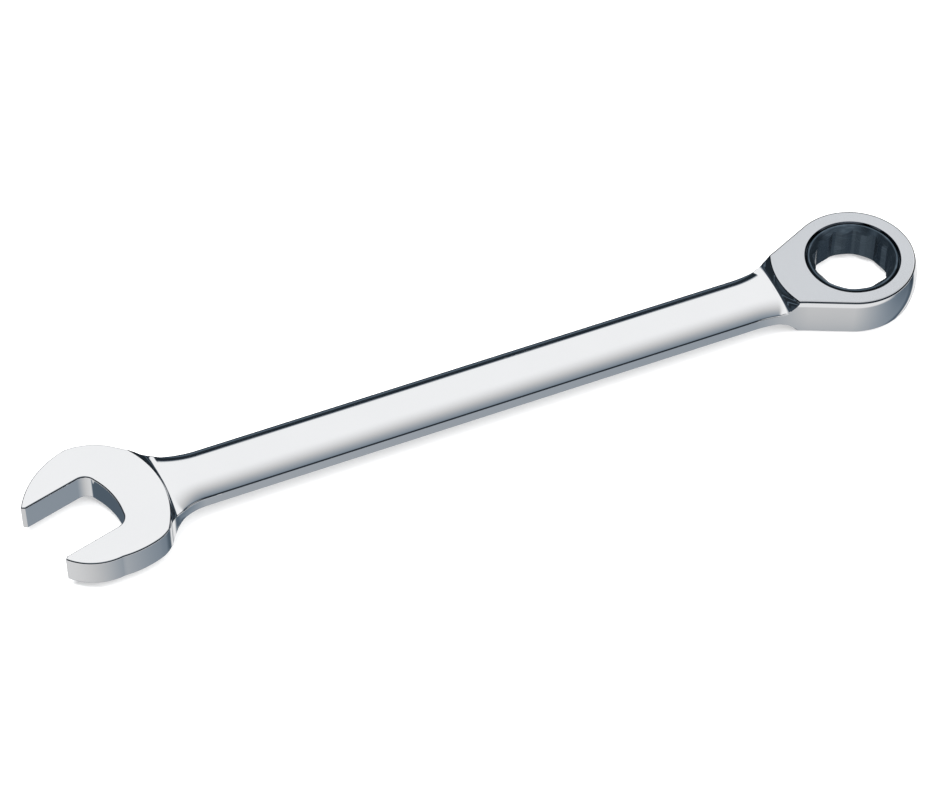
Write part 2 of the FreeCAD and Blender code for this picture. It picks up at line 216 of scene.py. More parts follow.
def turn(piece: Piece, centre: Point, steps: int, degrees: float = 360.0) -> Piece:
    """Spin a drawn outline about an upright axis.

    Args:
        piece: an outline in the XZ plane.
        centre: the axis's place in millimetres.
        steps: how many steps the spin takes.
        degrees: how far it goes.

    Returns:
        The same object, as a closed solid.
    """
    pick(piece)
    whole = degrees >= 360
    bpy.ops.object.mode_set(mode="EDIT")
    bpy.ops.mesh.select_all(action="SELECT")
    if whole:
        bpy.ops.mesh.delete(type="ONLY_FACE")
        bpy.ops.mesh.select_all(action="SELECT")
    bpy.ops.mesh.spin(steps=steps, angle=math.radians(degrees), center=placed(centre, Plane.FLAT), axis=(0, 0, 1))
    bpy.ops.object.mode_set(mode="OBJECT")
    tidy_shell(piece)
    return piece


def crown(piece: Piece, steps: list[Point]) -> Piece:
    """Raise a flat outline at z = 0 into a solid with shaped sides, the same above and below.

    Args:
        piece: an object with one face at z = 0.
        steps: how far in and how high each next ring of the side stands.

    Returns:
        The same object.
    """
    pick(piece)
    bpy.ops.object.mode_set(mode="EDIT")
    bpy.ops.mesh.select_mode(type="FACE")
    bpy.ops.mesh.select_all(action="SELECT")
    bpy.ops.mesh.normals_make_consistent(inside=False)
    bpy.ops.object.mode_set(mode="OBJECT")
    if piece.data.polygons[0].normal.z < 0:
        bpy.ops.object.mode_set(mode="EDIT")
        bpy.ops.mesh.flip_normals()
        bpy.ops.object.mode_set(mode="OBJECT")
    bpy.ops.object.mode_set(mode="EDIT")
    bpy.ops.mesh.select_all(action="SELECT")
    inward, height = 0.0, 0.0
    for side, top in steps:
        if side - inward < 1e-6:
            bpy.ops.mesh.extrude_region_move(TRANSFORM_OT_translate={"value": (0, 0, (top - height) * MM)})
        else:
            bpy.ops.mesh.inset(thickness=(side - inward) * MM, depth=(top - height) * MM, use_even_offset=True)
        inward, height = side, top
    bpy.ops.object.mode_set(mode="OBJECT")
    for face in piece.data.polygons:
        face.select = abs(face.center.z) < WELD and abs(face.normal.z) > 0.9
    bpy.ops.object.mode_set(mode="EDIT")
    bpy.ops.mesh.delete(type="FACE")
    bpy.ops.mesh.select_mode(type="VERT")
    bpy.ops.object.mode_set(mode="OBJECT")
    mirror = piece.modifiers.new("both_faces", "MIRROR")
    mirror.use_axis = (False, False, True)
    mirror.use_mirror_merge = True
    mirror.merge_threshold = WELD
    pick(piece)
    bpy.ops.object.modifier_apply(modifier=mirror.name)
    tidy_shell(piece)
    return piece


def work(blank: Piece, tool: Piece, cut: Cut) -> Piece:
    """Cut, join or intersect a blank with a tool, and throw the tool away.

    Args:
        blank: the piece worked on.
        tool: the shape used, removed afterwards.
        cut: what is done.

    Returns:
        The blank.
    """
    pick(blank)
    step = blank.modifiers.new(cut.name, "BOOLEAN")
    step.operation = cut.value
    step.solver = "EXACT"
    step.object = tool
    bpy.ops.object.modifier_apply(modifier=step.name)
    bpy.data.objects.remove(tool, do_unlink=True)
    LOG.info("%s after %s: %d faces", blank.name, cut.name, len(blank.data.polygons))
    return blank


def finish_shading(piece: Piece, degrees: float) -> None:
    """Smooth shading with sharp edges kept, weighted by the faces' areas."""
    pick(piece)
    bpy.ops.object.shade_smooth_by_angle(angle=math.radians(degrees))
    weigh = piece.modifiers.new("weighted", "WEIGHTED_NORMAL")
    weigh.keep_sharp = True
    weigh.weight = 100
    weigh.mode = "FACE_AREA"
    bpy.ops.object.modifier_apply(modifier=weigh.name)


# ---- the forging ----

# how far round each step of a rounded edge is, in degrees
EDGE_STEPS = (15, 30, 42, 53, 63, 72, 81, 90)
# where the ring's barrelled side has a ring of points, as a share of its height
SIDE_SHARES = (0.25, 0.45, 0.62, 0.78, 0.9, 1.0)
# where the shank has a section between its two blended ends
SHANK_STATIONS = (-150, -130, -110, -90, -70, -50, -35)


@dataclass
class Seat:
    """A flat, round head seat on the forging, with the hollow that runs out over the shank."""

    name: str
    face: float
    top: float
    centre: Point
    shank_side_deg: float
    sweep: float = 4.7
    foot: float = 1.2
    rim: float = 0.35
    proud: float = 0.02
    ledge: float = 3.35
    tuck: float = 0.7
    tuck_below: float = 0.3
    tuck_over: float = 0.9
    short: float = 0.6
    longer: float = 0.95
    spread_deg: float = 22.0
    most_spread: float = 1.2

    def lean(self) -> float:
        """How steep the hollow is where it meets the face."""
        drop = min(self.top + self.proud - self.foot, self.sweep)
        return math.acos((self.sweep - drop) / self.sweep)

    def edge(self) -> float:
        """Radius where the face ends."""
        return self.face + self.sweep * (1 - math.sin(self.lean()))

    def stretch(self, x: float, y: float) -> float:
        """How much longer the hollow is towards a place than a plain quarter round."""
        away = math.degrees(math.atan2(y - self.centre[1], x - self.centre[0])) - self.shank_side_deg
        away = abs((away + 180) % 360 - 180)
        return self.short + self.longer * min(self.most_spread, (away / self.spread_deg) ** 2)

    def height(self, x: float, y: float) -> float:
        """Height of the hollow over a place on the shank."""
        run = (math.hypot(x - self.centre[0], y - self.centre[1]) - self.edge()) / self.stretch(x, y)
        back = self.face + self.sweep - self.edge() - run
        if run < 0:
            return self.top
        if back < 0:
            return self.foot
        return self.foot + self.sweep - math.sqrt(self.sweep ** 2 - back ** 2)

    def tucked(self, height: float) -> float:
        """A height on the hollow, drawn under the shank's surface where it is below the ledge."""
        return height - self.tuck * min(1.0, max(0.0, (self.ledge - self.tuck_below - height) / self.tuck_over)) ** 2

    def build(self, steps: int) -> Piece:
        """Turn the seat as a solid, the same above and below.

        Args:
            steps: how many steps round it.

        Returns:
            The turned solid.
        """
        high, rim, edge = self.top + self.proud, self.rim, self.edge()
        lean = math.degrees(self.lean())
        quarter = arc((self.face + self.sweep, self.foot + self.sweep), self.sweep, -90 - lean, -90, 4)
        hollow = [(radius, self.tucked(height)) for radius, height in quarter]
        rounding = [(edge - rim, high), (edge - rim * 0.62, high - 0.02), (edge - rim * 0.29, high - rim * 0.12),
                    (edge - rim * 0.05, high - rim * 0.36)]
        upper = [(0.0, high)] + rounding + [spot for spot in hollow if spot[1] < high - rim * 0.7]
        profile = upper + [(radius, -height) for radius, height in reversed(upper)]
        shifted = [(self.centre[0] + radius, height) for radius, height in profile]
        solid = turn(draw(self.name, shifted, Plane.PROFILE, self.centre[1]), self.centre, steps)
        for vertex in solid.data.vertices:
            x, y = vertex.co.x / MM, vertex.co.y / MM
            out = Vector((x - self.centre[0], y - self.centre[1]))
            if out.length > edge:
                out *= (edge + (out.length - edge) * self.stretch(x, y)) / out.length
                vertex.co.x, vertex.co.y = (self.centre[0] + out.x) * MM, (self.centre[1] + out.y) * MM
        return solid


@dataclass
class Forging:
    """The chromed wrench body: ring head, shank and open jaw in one piece."""

    across_flats: float = 17.1
    head_half: float = 5.15
    ring_radius: float = 15.75
    flank_deg: float = 24.5
    flank_blend: float = 30.0
    ring_face_end: float = 19.8
    shank_half: float = 7.15
    shank_start: float = -166.0
    band_half: float = 1.45
    crest_half: float = 2.9
    jaw_half: float = 3.6
    jaw_centre: float = -190.0
    jaw_deg: float = 15.0
    jaw_face_end: float = 23.3
    jaw_face_x: float = -199.75
    jaw_face_y: float = -1.96
    throat_radius: float = 19.8
    throat_depth: float = 2.4
    corner_radius: float = 3.0
    tip_reach: float = 16.2
    flat_reach: float = 15.4
    tip_rise: float = 0.7
    relief_start: float = 1.5
    lip_radius: float = 11.29
    lip_thick: float = 1.1
    lip_bevel: float = 0.3
    chamber_radius: float = 12.35
    groove_radius: float = 12.95
    groove_low: float = -4.55
    groove_wide: float = 0.8
    pocket_end: float = 18.1
    pocket_width: float = 8.2
    pocket_half: float = 2.4
    drill_radius: float = 1.2
    drill_end: float = 24.6
    shoulder: float = 0.6
    side_bulge: float = 0.67
    edge_wide: float = 0.8
    jaw_edge_wide: float = 0.42
    edge_tall: float = 0.42
    side_lean_deg: float = 12.0
    shank_middle: float = -100.0
    fine_step: float = 0.27
    jaw_fine: tuple[float, int] = (-179.0, 46)
    ring_fine: tuple[float, int] = (-27.0, 41)
    soft_run: float = 0.9
    soft_share: float = 1.6
    soft_least: float = 0.01
    sunk: float = 0.08
    sunk_below: float = 1.6
    sunk_over: float = 0.7
    upper_web: tuple[Point, Point] = ((-175.2, 9.2), (-182.3, 13.55))
    lower_web: tuple[Point, Point] = ((-174.6, -9.25), (-178.2, -13.1))
    lower_web_start: float = -168.0

    def jaw_point(self, along: float, across: float) -> Point:
        """A point along the jaw's opening from the head's centre, and across it."""
        lean = math.radians(self.jaw_deg)
        return (self.jaw_centre - along * math.cos(lean) - across * math.sin(lean),
                -along * math.sin(lean) + across * math.cos(lean))

    def throat(self) -> list[Point]:
        """The jaw's inside from the upper tip to the lower one."""
        half = self.across_flats / 2
        corner, floor = self.corner_radius, self.throat_radius
        floor_centre = floor - self.throat_depth
        gap, rise = floor_centre - self.relief_start, half - corner
        reach = math.hypot(gap, rise)
        share = math.acos((reach ** 2 + floor ** 2 - corner ** 2) / (2 * reach * floor))
        turned = math.atan2(rise, gap) - share
        cross = (floor_centre - floor * math.cos(turned), floor * math.sin(turned))
        end = math.degrees(math.atan2(cross[1] - rise, cross[0] - self.relief_start)) % 360
        relief = arc((self.relief_start, rise), corner, 90, end, 6)
        upper = [(self.tip_reach, half + self.tip_rise), (self.flat_reach, half)] + relief
        floor_arc = arc_through(cross, (floor_centre - floor, 0), (cross[0], -cross[1]), 1.5)
        lower = [(along, -across) for along, across in reversed(upper)]
        return [self.jaw_point(*spot) for spot in upper + floor_arc[1:-1] + lower]

    def jaw_plan(self) -> list[Point]:
        """The open head and the start of the shank in plan."""
        reach = self.across_flats / 2 + self.tip_rise
        upper_tip = self.jaw_point(self.tip_reach, reach)
        cut_x = self.shank_start + 2
        web_middle, web_end = self.lower_web
        points = self.throat()
        for middle, end in (((-201.5, -14.75), (-191.0, -17.33)), ((-186.5, -17.05), (-181.9, -15.85)),
                            ((-179.9, -14.75), web_end), (web_middle, (self.lower_web_start, -self.shank_half))):
            points += arc_through(points[-1], middle, end, 1.5)[1:]
        points += [(self.shank_start, -self.shank_half), (cut_x, -self.shank_half), (cut_x, self.shank_half)]
        points += [(self.shank_start, self.shank_half)]
        for middle, end in (self.upper_web, ((-188.2, 16.75), (-193.4, 17.35)), ((-201.9, 12.95), upper_tip)):
            points += arc_through(points[-1], middle, end, 1.5)[1:]
        return points[:-1]

    def flare_start(self) -> float:
        """Where the shank's sides begin to widen towards the ring."""
        flank = math.radians(self.flank_deg)
        bend = (self.shank_half - self.ring_radius / math.cos(flank)) / math.tan(flank)
        return bend - self.flank_blend * math.tan(flank / 2)

    def ring_plan(self) -> list[Point]:
        """The ring head and the shank in plan, cut square at the jaw's end."""
        half, ring, blend = self.shank_half, self.ring_radius, self.flank_blend
        side = arc((self.flare_start(), half + blend), blend, -90, self.flank_deg - 90, 1.0)
        near = [(x, -y) for x, y in side]
        ring_arc = arc((0, 0), ring, -90 - self.flank_deg, 90 + self.flank_deg, 1.5)
        stations = [self.shank_start - 2, *SHANK_STATIONS]
        low = [(x, -half) for x in stations]
        high = [(x, half) for x in reversed(stations)]
        return low + near + ring_arc + list(reversed(side)) + high

    def rounded_edge(self, inward: float, start: float, wide: float) -> list[Point]:
        """The rounding between a side and its face: how far in, and how high, from where the side stands."""
        tilts = [math.radians(degrees) for degrees in EDGE_STEPS]
        return [(inward + wide * (1 - math.cos(tilt)), start + self.edge_tall * math.sin(tilt)) for tilt in tilts]

    def ring_side(self) -> list[Point]:
        """How the ring head's side bulges and rounds over to the face: how far in, and how high."""
        bulge, start = self.side_bulge, self.head_half - self.edge_tall
        side = [(bulge * share ** 2, start * share) for share in SIDE_SHARES]
        return side + self.rounded_edge(bulge, start, self.edge_wide)

    def jaw_side(self) -> list[Point]:
        """The open head's side: upright, with a small rounding at the face."""
        start = self.jaw_half - self.edge_tall
        return [(0.0, start)] + self.rounded_edge(0.0, start, self.jaw_edge_wide)

    def half_widths(self, x: float) -> tuple[float, float]:
        """How far the sides stand from the middle line at a place along the shank, on +Y and on -Y."""
        leave = self.flare_start()
        if x > leave:
            out = min(x - leave, self.flank_blend * math.sin(math.radians(self.flank_deg)))
            wide = self.shank_half + self.flank_blend - math.sqrt(self.flank_blend ** 2 - out ** 2)
            return wide, wide
        both = []
        near_web = [(place, -y) for place, y in self.lower_web]
        for curve in (arc_through((self.shank_start, self.shank_half), *self.upper_web, 1.0),
                      arc_through((self.lower_web_start, self.shank_half), *near_web, 1.0)):
            wide = self.shank_half
            for (x0, y0), (x1, y1) in zip(curve, curve[1:]):
                if x1 <= x <= x0:
                    wide = y1 + (y0 - y1) * (x - x1) / (x0 - x1)
            both.append(wide)
        return both[0], both[1]

    def bar_section(self) -> list[Point]:
        """Half of the shank's section in share of its width and in height: crown, rounded shoulder, steep side."""
        half, side, crest = self.shank_half, self.band_half, self.crest_half
        crown_arc = arc_through((-half, side), (0, crest), (half, side), 1.0)
        radius = (half ** 2 + (crest - side) ** 2) / (2 * (crest - side))
        corner = self.shoulder
        inner = radius - corner
        steep = self.side_lean_deg
        touch = math.degrees(math.acos((half - corner * math.cos(math.radians(steep))) / inner))
        spot = (inner * math.cos(math.radians(touch)), crest - radius + inner * math.sin(math.radians(touch)))
        shoulder = arc(spot, corner, steep, touch, 9)
        flat = [point for point in crown_arc if abs(point[0]) < shoulder[-1][0] - 0.1]
        flat = sorted(flat, reverse=True)
        past = (shoulder[0][0] + 0.22, 0.12)
        return [past] + shoulder + flat + [(-y, z) for y, z in reversed([past] + shoulder)]

    def ring_seat(self) -> Seat:
        """The ring head's seat."""
        return Seat("ring_seat", self.ring_face_end, self.head_half, (0, 0), 180.0)

    def jaw_seat(self) -> Seat:
        """The open head's seat."""
        return Seat("jaw_seat", self.jaw_face_end, self.jaw_half, (self.jaw_face_x, self.jaw_face_y), 0.0)

    def run_out(self, seat: Seat, x: float, y: float, crest: float) -> float:
        """The shank's height where it blends softly into a seat's hollow.

        Args:
            seat: the seat that it runs into.
            x: place along the shank.
            y: place across it.
            crest: the shank's own height there.

        Returns:
            The blended height.
        """
        hollow = seat.height(x, y)
        soft = min(self.soft_run, self.soft_share * (hollow - seat.foot))
        if soft <= self.soft_least:
            return crest
        share = max(0.0, soft - abs(hollow - crest)) / soft
        near = min(1.0, max(0.0, (hollow - seat.ledge + self.sunk_below) / self.sunk_over))
        return min(max(crest, hollow) + share ** 2 * soft / 4 - self.sunk * near, seat.ledge)

    def bar(self) -> Piece:
        """The crowned shank from jaw to ring; it widens with the plan at both ends and rounds down at the jaw."""
        half = self.shank_half
        over = self.bar_section()
        jaw_end, ring_end = ([start + self.fine_step * index for index in range(count)]
                             for start, count in (self.jaw_fine, self.ring_fine))
        stations = jaw_end + [-166, -163, *SHANK_STATIONS, -30, -28.5, -27.6] + ring_end
        under = [(-y, -z) for y, z in over]
        piece = draw("bar", over + under, Plane.SECTION, stations[0])
        pick(piece)
        bpy.ops.object.mode_set(mode="EDIT")
        bpy.ops.mesh.select_all(action="SELECT")
        for last, following in zip(stations, stations[1:]):
            bpy.ops.mesh.extrude_region_move(TRANSFORM_OT_translate={"value": ((following - last) * MM, 0, 0)})
        bpy.ops.object.mode_set(mode="OBJECT")
        for spot in piece.data.vertices:
            x, y, z = spot.co / MM
            up, down = self.half_widths(x)
            wide = up if y > 0 else down
            y *= wide / half
            if abs(z) > self.band_half * 0.3:
                at_ring = x > self.shank_middle
                seat = self.ring_seat() if at_ring else self.jaw_seat()
                crest = max(abs(z), self.band_half)
                raised = abs(z) + self.run_out(seat, x, y, crest) - crest
                if at_ring:
                    y *= 1 - self.side_bulge * (raised ** 2 - z ** 2) / (self.head_half - self.edge_tall) ** 2 / wide
                z = math.copysign(raised, z)
            spot.co = Vector((x, y, z)) * MM
        tidy_shell(piece)
        return piece

    def bore(self) -> Piece:
        """What is bored out of the ring head: lip hole, gear chamber and clip groove."""
        past = self.head_half + 1
        shelf = self.head_half - self.lip_thick
        high = self.groove_low + self.groove_wide
        mouth = self.chamber_radius + 0.25
        profile = [(0, -past), (mouth, -past), (mouth, -self.head_half - 0.01),
                   (self.chamber_radius, -self.head_half + 0.22), (self.chamber_radius, self.groove_low),
                   (self.groove_radius, self.groove_low), (self.groove_radius, high), (self.chamber_radius, high),
                   (self.chamber_radius, shelf), (self.lip_radius, shelf),
                   (self.lip_radius, self.head_half - self.lip_bevel),
                   (self.lip_radius + self.lip_bevel, self.head_half + 0.01),
                   (self.lip_radius + self.lip_bevel, past), (0, past)]
        return turn(draw("bore", profile, Plane.PROFILE), (0, 0), 192)

    def pocket(self) -> Piece:
        """The pawl's pocket behind the gear, and the spring's hole."""
        half, deep = self.pocket_width / 2, self.pocket_half
        block = [(-self.pocket_end, -half), (-self.lip_radius + 1.5, -half), (-self.lip_radius + 1.5, half),
                 (-self.pocket_end, half)]
        blank = pull(draw("pocket", block, Plane.FLAT, -deep), (0, 0, 2 * deep))
        ring = arc((0, 0), self.drill_radius, 0, 360, 12)[:-1]
        drill = draw("drill", ring, Plane.SECTION, -self.drill_end)
        return work(blank, pull(drill, (self.drill_end - self.pocket_end + 1, 0, 0)), Cut.JOIN)

    def build(self) -> Piece:
        """Build the forging.

        Returns:
            The finished mesh object.
        """
        ring = crown(draw("ring_blank", self.ring_plan(), Plane.FLAT), self.ring_side())
        jaw = crown(draw("jaw_blank", self.jaw_plan(), Plane.FLAT), self.jaw_side())
        plan = work(ring, jaw, Cut.JOIN)
        envelope = work(self.bar(), self.ring_seat().build(288), Cut.JOIN)
        work(envelope, self.jaw_seat().build(288), Cut.JOIN)
        work(plan, envelope, Cut.KEEP)
        tidy_shell(plan)
        work(plan, self.bore(), Cut.REMOVE)
        work(plan, self.pocket(), Cut.REMOVE)
        tidy_shell(plan)
        finish_shading(plan, 28)
        plan.name = "forged_body"
        return plan


# ---- the ratchet ----


@dataclass
class Gear:
    """The toothed ring that carries the 12-point socket."""

    across_flats: float = 17.1
    tip_radius: float = 12.25
    tooth_height: float = 0.55
    tooth_count: int = 72
    tooth_tip_deg: float = 1.06
    tooth_end_deg: float = 1.46
    tooth_foot_deg: float = 4.70
    low: float = -3.55
    high: float = 3.95
    neck_radius: float = 11.19
    foot_radius: float = 11.3
    half: float = 5.05
    lead_radius: float = 10.42
    throat_radius: float = 8.2
    neck_bevel: float = 0.32
    rim_radius: float = 10.86
    land_deg: float = 4.0
    groove_deg: float = 2.5

    def toothed_disc(self) -> Piece:
        """The band with its saw teeth."""
        root = self.tip_radius - self.tooth_height
        pitch = 360 / self.tooth_count
        points = []
        for index in range(self.tooth_count):
            for radius, shift in ((root, 0.0), (self.tip_radius, self.tooth_tip_deg),
                                  (self.tip_radius, self.tooth_end_deg), (root, self.tooth_foot_deg)):
                turned = math.radians(pitch * index + shift)
                points.append((radius * math.cos(turned), radius * math.sin(turned)))
        return pull(draw("toothed_disc", points, Plane.FLAT, self.low), (0, 0, self.high - self.low))

    def necks(self) -> Piece:
        """The round necks above and below the teeth."""
        bevel = self.neck_bevel
        profile = [(0, -self.half), (self.foot_radius - bevel, -self.half), (self.foot_radius, bevel - self.half),
                   (self.foot_radius, 0), (self.neck_radius, 0), (self.neck_radius, self.half - 1.1),
                   (self.rim_radius + 0.06, self.half - 0.5), (self.rim_radius, self.half - 0.08),
                   (self.rim_radius - 0.08, self.half), (0, self.half)]
        return turn(draw("necks", profile, Plane.PROFILE), (0, 0), 144)

    def lead_in(self) -> Piece:
        """What is cut for the mouths: a hole with a cone at each end."""
        past = self.half + 1
        depth = self.lead_radius - self.throat_radius
        upper = [(0, past), (self.lead_radius + 1, past), (self.throat_radius, self.half - depth)]
        profile = upper + [(radius, -height) for radius, height in reversed(upper)]
        return turn(draw("lead_in", profile, Plane.PROFILE), (0, 0), 144)

    def socket(self) -> Piece:
        """The 12-point hole, two hexagons turned by 30 degrees."""
        flat = self.across_flats / 2
        points = []
        for index in range(12):
            for shift in (-15 + self.land_deg, -self.groove_deg, self.groove_deg, 15 - self.land_deg):
                radius = flat / math.cos(math.radians(30 - abs(shift)))
                turned = math.radians(30 * index + shift)
                points.append((radius * math.cos(turned), radius * math.sin(turned)))
        return pull(draw("socket", points, Plane.FLAT, -self.half - 1), (0, 0, 2 * self.half + 2))

    def build(self) -> Piece:
        """Build the gear.

        Returns:
            The finished mesh object.
        """
        gear = work(self.toothed_disc(), self.necks(), Cut.JOIN)
        work(gear, self.lead_in(), Cut.REMOVE)
        work(gear, self.socket(), Cut.REMOVE)
        tidy_shell(gear)
        finish_shading(gear, 25)
        gear.name = "socket_gear"
        return gear


@dataclass
class Clip:
    """The open wire ring that holds the gear in."""

    inner: float = 11.5
    outer: float = 12.85
    low: float = -4.5
    thick: float = 0.7
    corner: float = 0.12
    sweep: float = 318.0

    def build(self) -> Piece:
        """Build the clip.

        Returns:
            The finished mesh object.
        """
        c, high = self.corner, self.low + self.thick
        profile = [(self.inner + c, self.low), (self.outer - c, self.low), (self.outer, self.low + c),
                   (self.outer, high - c), (self.outer - c, high), (self.inner + c, high),
                   (self.inner, high - c), (self.inner, self.low + c)]
        clip = turn(draw("wire_clip", profile, Plane.PROFILE), (0, 0), 160, self.sweep)
        clip.data.transform(Matrix.Rotation(math.radians(180 + (360 - self.sweep) / 2), 4, "Z"))
        finish_shading(clip, 50)
        return clip


@dataclass
class CoilSpring:
    """The pawl's spring; the real one shortens as the pawl goes back, but this copy keeps its shape."""

    node: str = "pawl_spring"
    joint: str = "pawl_slide"
    travel: float = 0.8

    def build(self) -> Piece:
        """Build the spring from the frame's own coil, as a welded and smooth copy.

        Returns:
            The finished mesh object.
        """
        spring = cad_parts[self.node].copy()
        spring.data = spring.data.copy()
        spring.name = "coil_spring"
        bpy.context.scene.collection.objects.link(spring)
        tidy_shell(spring)
        finish_shading(spring, 60)
        return spring

    def fold(self, spring: Piece) -> None:
        """Give the finished spring its own copy of its mesh."""
        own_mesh(spring)


# ---- finishes ----


def new_material(name: str) -> bpy.types.Material:
    """A new material with one Principled shader."""
    material = bpy.data.materials.new(name)
    material.use_nodes = True
    return material


class Nodes:
    """A node tree with short ways to add what the finishes and the studio need."""

    def __init__(self, tree: bpy.types.NodeTree) -> None:
        """Work on a tree, with its coordinates at hand."""
        self.tree = tree
        self.where = tree.nodes.new("ShaderNodeTexCoord")

    @property
    def shader(self) -> bpy.types.Node:
        """The material's own shader."""
        return self.tree.nodes["Principled BSDF"]

    def split(self, vector: Any) -> tuple[Any, Any, Any]:
        """The three parts of a vector, as value sockets."""
        node = self.tree.nodes.new("ShaderNodeSeparateXYZ")
        self.link(vector, node.inputs["Vector"])
        return tuple(node.outputs)

    def link(self, source: Any, target: Any) -> None:
        """Join two sockets."""
        self.tree.links.new(source, target)

    def mapping(self, scale: Triple, spin_deg: float = 0.0) -> Any:
        """Object coordinates scaled and turned about Z.

        Args:
            scale: the scale along each axis.
            spin_deg: the turn about Z.

        Returns:
            The vector socket.
        """
        node = self.tree.nodes.new("ShaderNodeMapping")
        node.inputs["Scale"].default_value = scale
        node.inputs["Rotation"].default_value = (0, 0, math.radians(spin_deg))
        self.link(self.where.outputs["Object"], node.inputs["Vector"])
        return node.outputs["Vector"]

    def noise(self, vector: Any, scale: float, detail: float = 3.0) -> Any:
        """Noise over a vector, as a value socket."""
        node = self.tree.nodes.new("ShaderNodeTexNoise")
        node.inputs["Scale"].default_value = scale
        node.inputs["Detail"].default_value = detail
        self.link(vector, node.inputs["Vector"])
        return node.outputs["Fac"]

    def span(self, value: Any, source: Point, target: Point) -> Any:
        """Map a value from one range to another, eased at the ends.

        Args:
            value: the value socket.
            source: the range it is read over.
            target: what the ends become.

        Returns:
            The value socket.
        """
        node = self.tree.nodes.new("ShaderNodeMapRange")
        node.interpolation_type = "SMOOTHSTEP"
        self.link(value, node.inputs["Value"])
        for name, number in zip(("From Min", "From Max", "To Min", "To Max"), (*source, *target)):
            node.inputs[name].default_value = number
        return node.outputs["Result"]

    def math(self, operation: str, first: Any, second: Any) -> Any:
        """One math step on two sockets or numbers, as a value socket."""
        node = self.tree.nodes.new("ShaderNodeMath")
        node.operation = operation
        for index, value in enumerate((first, second)):
            if isinstance(value, (int, float)):
                node.inputs[index].default_value = value
            else:
                self.link(value, node.inputs[index])
        return node.outputs["Value"]

    def times(self, first: Any, second: Any) -> Any:
        """Two sockets or numbers multiplied, as a value socket."""
        return self.math("MULTIPLY", first, second)

    def mix(self, share: Any, first: Any, second: Any, way: str = "MIX") -> Any:
        """Two colour sockets mixed by a value socket, as a colour socket."""
        node = self.tree.nodes.new("ShaderNodeMix")
        node.data_type = "RGBA"
        node.blend_type = way
        for source, name in ((share, "Factor"), (first, "A"), (second, "B")):
            self.link(source, node.inputs[name])
        return node.outputs["Result"]

    def stripe(self, value: Any, low: float, high: float, soft: float) -> Any:
        """One between two values and nothing outside them, with soft ends, as a value socket."""
        rise = self.span(value, (low - soft, low), (0, 1))
        return self.times(rise, self.span(value, (high, high + soft), (1, 0)))

    def blend(self, share: Any, first: tuple[float, ...], second: tuple[float, ...]) -> Any:
        """Two colours mixed by a value socket, as a colour socket."""
        node = self.tree.nodes.new("ShaderNodeMix")
        node.data_type = "RGBA"
        self.link(share, node.inputs["Factor"])
        node.inputs["A"].default_value = (*first, 1)
        node.inputs["B"].default_value = (*second, 1)
        return node.outputs["Result"]

    def bump(self, height: Any, strength: float, distance: float, after: Any = None) -> Any:
        """A bump from a height socket; distance is in millimetres.

        Args:
            height: the height socket.
            strength: how strong it is.
            distance: its full height.
            after: the normal of an earlier bump.

        Returns:
            The normal socket.
        """
        node = self.tree.nodes.new("ShaderNodeBump")
        node.inputs["Strength"].default_value = strength
        node.inputs["Distance"].default_value = distance * MM
        self.link(height, node.inputs["Height"])
        if after is not None:
            self.link(after, node.inputs["Normal"])
        return node.outputs["Normal"]


